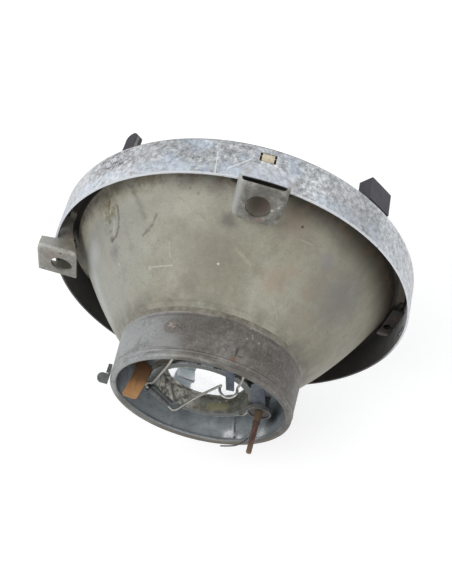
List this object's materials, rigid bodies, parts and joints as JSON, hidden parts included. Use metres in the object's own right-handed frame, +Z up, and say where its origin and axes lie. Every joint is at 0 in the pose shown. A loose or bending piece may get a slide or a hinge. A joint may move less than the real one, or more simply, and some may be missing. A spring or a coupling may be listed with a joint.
{
  "type": "car headlight",
  "caption": "Round car headlight seen from behind: reflector and glass lens in a zinc rim band, fixing brackets, rear collar and a wire bail over the bulb cup.",
  "frame": {"origin": "where the optical axis crosses the plane of the rim band's rear edge", "axes": "+Y rearward along the optical axis, away from the lens; +Z up through the top bracket; +X through the side bracket"},
  "size_m": [0.1967, 0.1221, 0.1942],
  "materials": {
    "zinc": "mottled, scratched galvanised sheet",
    "yellow_zinc": "dull yellow passivated",
    "glass": "clear pressed glass",
    "rubber": "matt",
    "bowl_paint": "worn matt grey-beige lacquer",
    "bracket_steel": "dull plated steel",
    "dark_steel": "grimy steel",
    "cup_steel": "stained steel",
    "collar_steel": "matt grey steel",
    "rust": "rusted",
    "spring_wire": "bright wire",
    "blue_steel": "blued strip",
    "fibre": "matt",
    "lead_wire": "dark",
    "brass": "dull",
    "bulb_glass": "clear",
    "copper_strip": "brown oxidised",
    "mirror_metal": "bright",
    "black_rubber": "matt black"
  },
  "bodies": {
    "lamp": {"rim_band": "zinc", "rim_clips": "yellow_zinc", "lens": "glass", "lens_seal": "rubber", "reflector": "bowl_paint", "top_bracket": "bracket_steel", "side_bracket": "bracket_steel", "pivot_bracket": "dark_steel", "bulb_cup": "cup_steel", "rear_collar": "collar_steel", "collar_lug": "collar_steel", "collar_weld": "rust", "bail_saddle": "collar_steel", "bail_latch": "blue_steel", "holder_strap": "blue_steel", "parking_holder": "dark_steel", "holder_insulator": "fibre", "contact_pin": "rust", "pin_lead": "lead_wire", "parking_bulb_cap": "brass", "parking_bulb_glass": "bulb_glass", "earth_blade": "copper_strip", "blade_rivet": "dark_steel", "link_wire": "spring_wire", "shield_cap": "mirror_metal", "shield_strap": "bracket_steel", "shield_rivets": "bracket_steel", "left_rim_stop": "black_rubber", "right_rim_stop": "black_rubber", "stop_clip": "bracket_steel"},
    "bail": {"bulb_bail": "spring_wire"}
  },
  "joints": [
    {"name": "bail_hinge", "type": "hinge", "parent": "lamp", "child": "bail", "pos_m": [0.02096, 0.0583, -0.01638], "axis": [-0.6157, 0, -0.788], "range_deg": [0, 105]}
  ]
}
